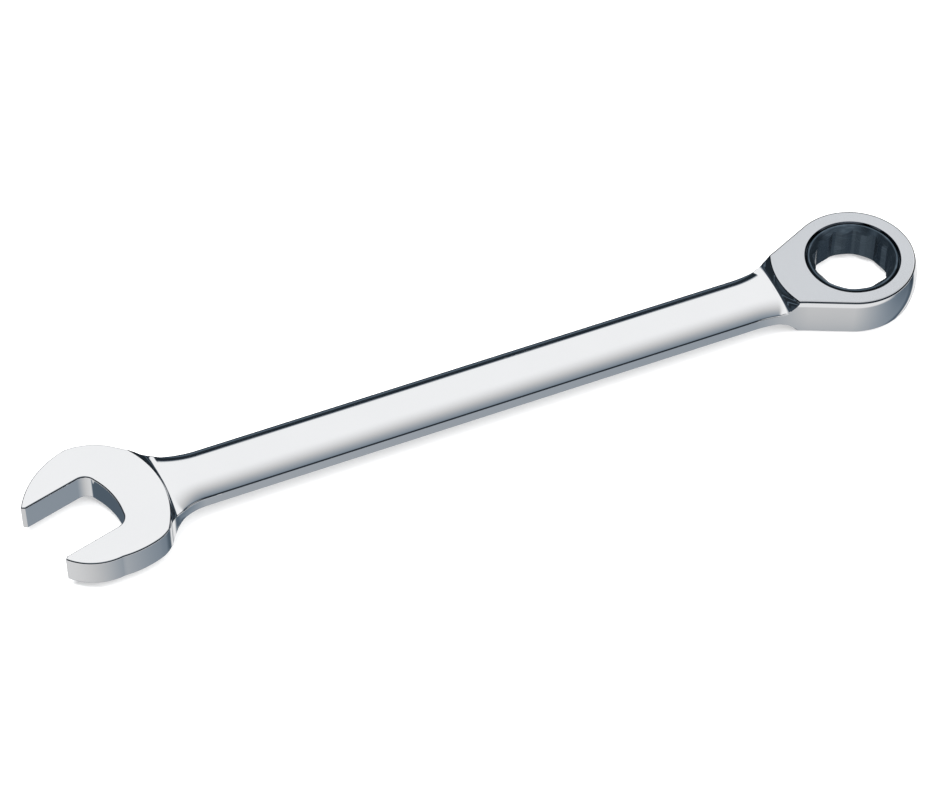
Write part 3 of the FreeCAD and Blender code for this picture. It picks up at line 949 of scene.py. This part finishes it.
@dataclass(frozen=True)
class Chrome:
    """Polished chrome plate, with ground faces on the ring head; near-black shade painted inside the bore and dark
    reflection lines painted along the rounded edges of the ring, the shank and the jaw.
    """

    plate: Triple = (0.93, 0.94, 0.955)
    ground: Triple = (0.70, 0.725, 0.76)
    # Near-black colour painted as shade inside the bore and as the dark reflection lines on the edges.
    bare: Triple = (0.05, 0.06, 0.075)
    bore_shade_radius: float = 0.0116
    # Painted dark lines on the rounded edges, standing in for reflections: reach along X and band of height, in
    # metres.
    ring_shade_line: tuple[Point, Point] = ((-0.025, 0.017), (0.00490, 0.00504))
    shank_shade_line: tuple[Point, Point] = ((-0.168, -0.029), (0.00138, 0.00154))
    jaw_shade_line: tuple[Point, Point] = ((-0.210, -0.179), (0.00338, 0.00350))
    line_end: float = 0.003
    line_soft: float = 0.00004
    polish: Point = (0.035, 0.075)
    ground_rough: float = 0.2

    def edges(self, nodes: Nodes, along: Any, height: Any) -> Any:
        """Where the painted dark line runs on the rounded edges of the ring, the shank and the jaw: a dark reflection
        painted into the colour.

        Args:
            nodes: the material's tree.
            along: place along the wrench, as a socket.
            height: height over the middle plane, as a socket.

        Returns:
            The line as a value socket.
        """
        line: Any = 0.0
        for (start, end), (low, high) in (self.ring_shade_line, self.shank_shade_line, self.jaw_shade_line):
            reach = nodes.stripe(along, start, end, self.line_end)
            part = nodes.times(reach, nodes.stripe(height, low, high, self.line_soft))
            line = nodes.math("MAXIMUM", part, line)
        return line

    def make(self) -> bpy.types.Material:
        """Make the material.

        Returns:
            The material.
        """
        material = new_material("chrome_plate")
        nodes = Nodes(material.node_tree)
        x, y, z = nodes.split(nodes.where.outputs["Object"])
        height = nodes.math("ABSOLUTE", z, 0)
        out = nodes.math("SQRT", nodes.math("ADD", nodes.times(x, x), nodes.times(y, y)), 0)
        # Painted shade: inside this radius, the bore's bevel and walls are coloured near-black.
        bore = nodes.span(out, (self.bore_shade_radius, self.bore_shade_radius + 0.00006), (1, 0))
        face = nodes.span(height, (0.00508, 0.00514), (0, 1))
        smear = nodes.noise(nodes.mapping((1, 1, 1)), 60, 4)
        fine = nodes.noise(nodes.mapping((9, 1, 9)), 900, 4)
        scratch = nodes.span(nodes.noise(nodes.mapping((1, 14, 4), 24), 420, 2), (0.62, 0.70), (0, 1))
        scuff = nodes.span(nodes.noise(nodes.mapping((1, 1, 1)), 28, 2), (0.5, 0.72), (0, 1))
        rough = nodes.span(smear, (0.3, 0.75), self.polish)
        rough = nodes.math("ADD", rough, nodes.times(nodes.times(scratch, scuff), 0.12))
        rough = nodes.math("ADD", rough, nodes.times(face, self.ground_rough))
        nodes.link(rough, nodes.shader.inputs["Roughness"])
        plate = nodes.blend(smear, self.plate, tuple(c * 0.97 for c in self.plate))
        ground = nodes.blend(fine, self.ground, tuple(c * 0.92 for c in self.ground))
        dark = nodes.blend(fine, self.bare, tuple(c * 1.6 for c in self.bare))
        # Painted shade and reflection: the near-black bore and the dark edge lines, mixed over the plate and ground
        # colours.
        shade = nodes.math("MAXIMUM", bore, self.edges(nodes, x, height))
        colour = nodes.mix(shade, nodes.mix(face, plate, ground), dark)
        nodes.link(colour, nodes.shader.inputs["Base Color"])
        waves = nodes.bump(smear, 0.05, 0.02)
        grain = nodes.bump(nodes.times(fine, face), 0.35, 0.004, waves)
        nodes.link(grain, nodes.shader.inputs["Normal"])
        nodes.shader.inputs["Metallic"].default_value = 1.0
        return material


@dataclass(frozen=True)
class DarkSteel:
    """Blackened or bare steel with turning marks: the gear, the pawl, the clip and the spring."""

    name: str
    base: Triple
    worn: Triple
    rough: Point = (0.28, 0.42)
    metal: float = 0.9
    marks: Triple = (1.0, 1.0, 12.0)
    mark_depth: float = 0.006

    def make(self) -> bpy.types.Material:
        """Make the material.

        Returns:
            The material.
        """
        material = new_material(self.name)
        nodes = Nodes(material.node_tree)
        cloud = nodes.noise(nodes.mapping((1, 1, 1)), 180, 5)
        marks = nodes.noise(nodes.mapping(self.marks), 320, 4)
        wear = nodes.span(nodes.times(cloud, marks), (0.22, 0.5), (0, 1))
        nodes.link(nodes.blend(wear, self.base, self.worn), nodes.shader.inputs["Base Color"])
        nodes.link(nodes.span(cloud, (0.3, 0.7), self.rough), nodes.shader.inputs["Roughness"])
        nodes.link(nodes.bump(marks, 0.5, self.mark_depth), nodes.shader.inputs["Normal"])
        nodes.shader.inputs["Metallic"].default_value = self.metal
        return material


# ---- the studio ----


@dataclass
class Studio:
    """The pale floor, the light and the camera."""

    floor_height: float = -5.17
    floor_size: float = 6000.0
    azimuth: float = -22.70
    elevation: float = 49.718
    lens: float = 134.76
    sensor: float = 36.0
    aside: float = -92.53
    down: float = -34.41
    away: float = 840.44
    target_height: float = 5.15
    lamp_aim: Triple = (-96, 0, 0)

    def floor(self) -> Piece:
        """The pale floor, out of sight of the chrome, which reflects the studio's walls instead."""
        clear_selection()
        bpy.ops.mesh.primitive_plane_add(size=self.floor_size * MM, location=(0, 0, self.floor_height * MM))
        plane = bpy.context.object
        plane.name = "floor"
        paper = new_material("floor_paper")
        nodes = Nodes(paper.node_tree)
        nodes.shader.inputs["Base Color"].default_value = (0.55, 0.55, 0.55, 1)
        nodes.shader.inputs["Emission Color"].default_value = (1, 1, 1, 1)
        nodes.shader.inputs["Emission Strength"].default_value = 0.45
        nodes.shader.inputs["Roughness"].default_value = 0.95
        nodes.shader.inputs["Specular IOR Level"].default_value = 0.0
        plane.data.materials.append(paper)
        plane.visible_glossy = False
        return plane

    def lamp(self, name: str, place: Triple, size: float, power: float) -> None:
        """A soft square lamp that points at the wrench and lights only matt surfaces.

        Args:
            name: the lamp's name.
            place: where it stands.
            size: its side.
            power: its power in watts.
        """
        data = bpy.data.lights.new(name, "AREA")
        data.size = size * MM
        data.energy = power
        lamp = bpy.data.objects.new(name, data)
        lamp.location = Vector(place) * MM
        aim = Vector(self.lamp_aim) * MM - lamp.location
        lamp.rotation_euler = aim.to_track_quat("-Z", "Y").to_euler()
        lamp.visible_glossy = False
        bpy.context.scene.collection.objects.link(lamp)

    def high_walls(self, maker: Nodes, way: tuple[Any, Any, Any]) -> Any:
        """The walls high up: bright behind, with a dark gap, a door and a window.

        Args:
            maker: the world's tree.
            way: the direction's three parts, as sockets.

        Returns:
            The brightness as a value socket.
        """
        x, y, _ = way
        back = maker.span(y, (-0.2, 0.42), (0.22, 0.93))
        gap = maker.span(y, (-0.36, -0.2), (0.03, 1.0))
        upper = maker.times(maker.times(back, gap), maker.span(x, (-0.52, -0.24), (0.06, 1)))
        screen = maker.math("MAXIMUM", maker.span(x, (0.0, 0.12), (1, 0.6)), maker.span(x, (0.48, 0.62), (0.6, 1)))
        door = maker.times(maker.span(y, (-0.66, -0.48), (0.85, 0)), screen)
        window = maker.times(maker.span(x, (-0.8, -0.66), (0.75, 0)), maker.span(y, (-0.08, 0.02), (1, 0)))
        return maker.math("MAXIMUM", upper, maker.math("MAXIMUM", door, window))

    def low_walls(self, maker: Nodes, way: tuple[Any, Any, Any]) -> Any:
        """The walls low down: grey in front with a bright strip, and dark behind with a rail and a side light.

        Args:
            maker: the world's tree.
            way: the direction's three parts, as sockets.

        Returns:
            The brightness as a value socket.
        """
        x, y, z = way
        front = maker.math("MAXIMUM", maker.math("SUBTRACT", 0.46, maker.times(x, 0.35)), 0.12)
        strip = maker.times(maker.span(z, (-0.46, -0.38), (0, 1)), maker.span(z, (-0.2, -0.12), (1, 0)))
        front = maker.math("MAXIMUM", front, maker.times(strip, 0.8))
        front = maker.times(front, maker.span(z, (-0.1, 0.0), (1, 0.1)))
        rail = maker.times(maker.span(z, (0.14, 0.17), (0, 1)), maker.span(z, (0.21, 0.24), (1, 0)))
        behind = maker.math("ADD", 0.025, maker.times(rail, 0.11))
        behind = maker.math("ADD", behind, maker.span(z, (-0.7, -0.5), (0.1, 0)))
        side = maker.times(maker.span(x, (0.4, 0.55), (0, 1)), maker.span(y, (0.12, 0.26), (0, 0.85)))
        side = maker.times(side, maker.span(z, (-0.5, -0.4), (1, 0)))
        behind = maker.math("MAXIMUM", behind, side)
        low_share = maker.span(y, (-0.12, 0.08), (0, 1))
        return maker.math("ADD", maker.times(front, maker.math("SUBTRACT", 1, low_share)),
                          maker.times(behind, low_share))

    def walls(self) -> None:
        """Light from all round, by direction: high walls above the horizon, low walls under it."""
        world = bpy.data.worlds.new("studio_walls")
        bpy.context.scene.world = world
        world.use_nodes = True
        maker = Nodes(world.node_tree)
        way = maker.split(maker.where.outputs["Generated"])
        upper, lower = self.high_walls(maker, way), self.low_walls(maker, way)
        up = maker.span(way[2], (0.33, 0.40), (0, 1))
        level = maker.math("ADD", maker.times(upper, up),
                           maker.times(lower, maker.math("SUBTRACT", 1, up)))
        tint = maker.blend(maker.span(level, (0.02, 0.6), (0, 1)), (0.62, 0.86, 1.12), (1.0, 1.0, 1.0))
        colour = maker.tree.nodes.new("ShaderNodeMix")
        colour.data_type = "RGBA"
        colour.blend_type = "MULTIPLY"
        colour.inputs["Factor"].default_value = 1.0
        maker.link(tint, colour.inputs["A"])
        maker.link(level, colour.inputs["B"])
        seen = maker.tree.nodes.new("ShaderNodeLightPath")
        pale = maker.tree.nodes.new("ShaderNodeMix")
        pale.data_type = "RGBA"
        pale.inputs["B"].default_value = (0.95, 0.95, 0.95, 1)
        maker.link(seen.outputs["Is Camera Ray"], pale.inputs["Factor"])
        maker.link(colour.outputs["Result"], pale.inputs["A"])
        maker.link(pale.outputs["Result"], maker.tree.nodes["Background"].inputs["Color"])

    def camera(self) -> None:
        """The camera at its place, looking down on the wrench from the jaw's side."""
        turned, raised = math.radians(self.azimuth), math.radians(self.elevation)
        right = Vector((math.cos(turned), math.sin(turned), 0))
        back = Vector((math.sin(turned) * math.cos(raised), -math.cos(turned) * math.cos(raised), math.sin(raised)))
        data = bpy.data.cameras.new("camera")
        data.lens = self.lens
        data.sensor_width = self.sensor
        data.clip_start = 0.01
        camera = bpy.data.objects.new("camera", data)
        target = Vector((0, 0, self.target_height))
        camera.location = (target + right * self.aside + back.cross(right) * self.down + back * self.away) * MM
        camera.rotation_mode = "QUATERNION"
        camera.rotation_quaternion = (-back).to_track_quat("-Z", "Y")
        bpy.context.scene.collection.objects.link(camera)
        bpy.context.scene.camera = camera

    def build(self) -> None:
        """Set up the floor, the light and the camera."""
        self.floor()
        self.walls()
        self.lamp("key", (-400, 300, 1100), 900, 26)
        self.lamp("fill", (300, -500, 900), 900, 14)
        self.camera()
        bpy.context.scene.view_settings.view_transform = "Standard"


def dress(piece: Piece, material: bpy.types.Material) -> None:
    """Give a piece one material."""
    piece.data.materials.clear()
    piece.data.materials.append(material)


def seat_on(piece: Piece, body: str, node: str) -> None:
    """Fix a modelled piece to its body in place of a CAD node.

    Args:
        piece: the mesh object.
        body: the body that it rides on.
        node: the CAD node that it stands for.
    """
    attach(piece, body)
    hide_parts(node)
    LOG.info("%s: %d faces, rides on %s", piece.name, len(piece.data.polygons), body)


def main() -> None:
    """Build every piece in order, dress it and set up the studio."""
    logging.basicConfig(level=logging.INFO, format="%(message)s")
    Studio().build()
    black = DarkSteel("black_oxide", (0.06, 0.085, 0.11), (0.13, 0.17, 0.21), rough=(0.2, 0.36))
    clip_steel = DarkSteel("clip_steel", (0.16, 0.165, 0.175), (0.34, 0.345, 0.355))
    pawl_steel = DarkSteel("pawl_steel", (0.09, 0.092, 0.10), (0.24, 0.245, 0.255))
    spring_steel = DarkSteel("spring_steel", (0.42, 0.43, 0.45), (0.62, 0.63, 0.65), rough=(0.18, 0.3), metal=1.0)
    body = Forging().build()
    dress(body, Chrome().make())
    seat_on(body, "wrench", "wrench_body")
    gear = Gear().build()
    dress(gear, black.make())
    seat_on(gear, "gear", "ratchet_gear")
    clip = Clip().build()
    dress(clip, clip_steel.make())
    seat_on(clip, "wrench", "retaining_ring")
    coil = CoilSpring()
    spring = coil.build()
    dress(spring, spring_steel.make())
    seat_on(spring, "wrench", "pawl_spring")
    coil.fold(spring)
    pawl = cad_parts["ratchet_pawl"]
    dress(pawl, pawl_steel.make())
    LOG.info("%s: kept, with its own finish", pawl.name)


if __name__ == "__main__":
    main()
